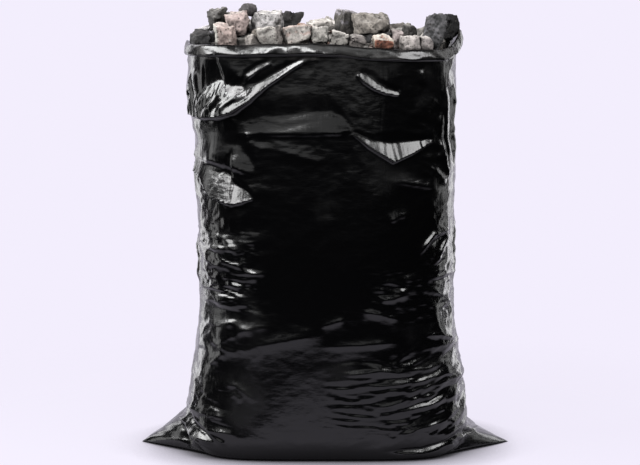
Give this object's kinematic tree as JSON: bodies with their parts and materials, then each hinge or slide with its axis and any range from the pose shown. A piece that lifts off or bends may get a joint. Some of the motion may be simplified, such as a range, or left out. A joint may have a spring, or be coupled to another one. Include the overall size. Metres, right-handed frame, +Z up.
{
  "type": "full bin bag",
  "caption": "Open black polythene sack standing upright, filled above its brim with broken stone and brick, its welded bottom corners sticking out as ears.",
  "frame": {"origin": "middle of the bounding box's bottom, on the floor under the middle of the sack", "axes": "+X to the right and +Y to the back, seen from the sack's front, +Z up"},
  "size_m": [0.494, 0.2774, 0.6023],
  "materials": {
    "film": "glossy blown black polythene, creased and wrinkled, lightly dusted at the brim",
    "fill": "dusty mixed rubble",
    "grey_stone": "rough broken face, speckled grey-taupe, dusty",
    "dark_stone": "rough broken face, charcoal to slate grey, dusty edges",
    "pink_stone": "rough broken face, pale pink with grey grains",
    "pale_lump": "chalky cream to pale grey limestone and mortar, pitted",
    "brick_bit": "broken orange-red brick with mortar left on it"
  },
  "bodies": {
    "root": {"brick_bit_01": "brick_bit", "brick_bit_02": "brick_bit", "brick_bit_03": "brick_bit", "brick_bit_04": "brick_bit", "brick_bit_05": "brick_bit", "dark_stone_01": "dark_stone", "dark_stone_02": "dark_stone", "dark_stone_03": "dark_stone", "dark_stone_04": "dark_stone", "dark_stone_05": "dark_stone", "dark_stone_06": "dark_stone", "dark_stone_07": "dark_stone", "dark_stone_08": "dark_stone", "dark_stone_09": "dark_stone", "dark_stone_10": "dark_stone", "dark_stone_11": "dark_stone", "film_sack": "film", "grey_stone_01": "grey_stone", "grey_stone_02": "grey_stone", "grey_stone_03": "grey_stone", "grey_stone_04": "grey_stone", "grey_stone_05": "grey_stone", "grey_stone_06": "grey_stone", "grey_stone_07": "grey_stone", "grey_stone_08": "grey_stone", "grey_stone_09": "grey_stone", "grey_stone_10": "grey_stone", "grey_stone_11": "grey_stone", "grey_stone_12": "grey_stone", "grey_stone_13": "grey_stone", "grey_stone_14": "grey_stone", "grey_stone_15": "grey_stone", "grey_stone_16": "grey_stone", "grey_stone_17": "grey_stone", "grey_stone_18": "grey_stone", "grey_stone_19": "grey_stone", "packed_rubble": "fill", "pale_lump_01": "pale_lump", "pale_lump_02": "pale_lump", "pale_lump_03": "pale_lump", "pale_lump_04": "pale_lump", "pale_lump_05": "pale_lump", "pale_lump_06": "pale_lump", "pale_lump_07": "pale_lump", "pale_lump_08": "pale_lump", "pale_lump_09": "pale_lump", "pale_lump_10": "pale_lump", "pale_lump_11": "pale_lump", "pale_lump_12": "pale_lump", "pale_lump_13": "pale_lump", "pale_lump_14": "pale_lump", "pale_lump_15": "pale_lump", "pink_stone_01": "pink_stone", "pink_stone_02": "pink_stone", "pink_stone_03": "pink_stone", "pink_stone_04": "pink_stone", "pink_stone_05": "pink_stone", "pink_stone_06": "pink_stone", "pink_stone_07": "pink_stone", "pink_stone_08": "pink_stone"}
  },
  "joints": []
}
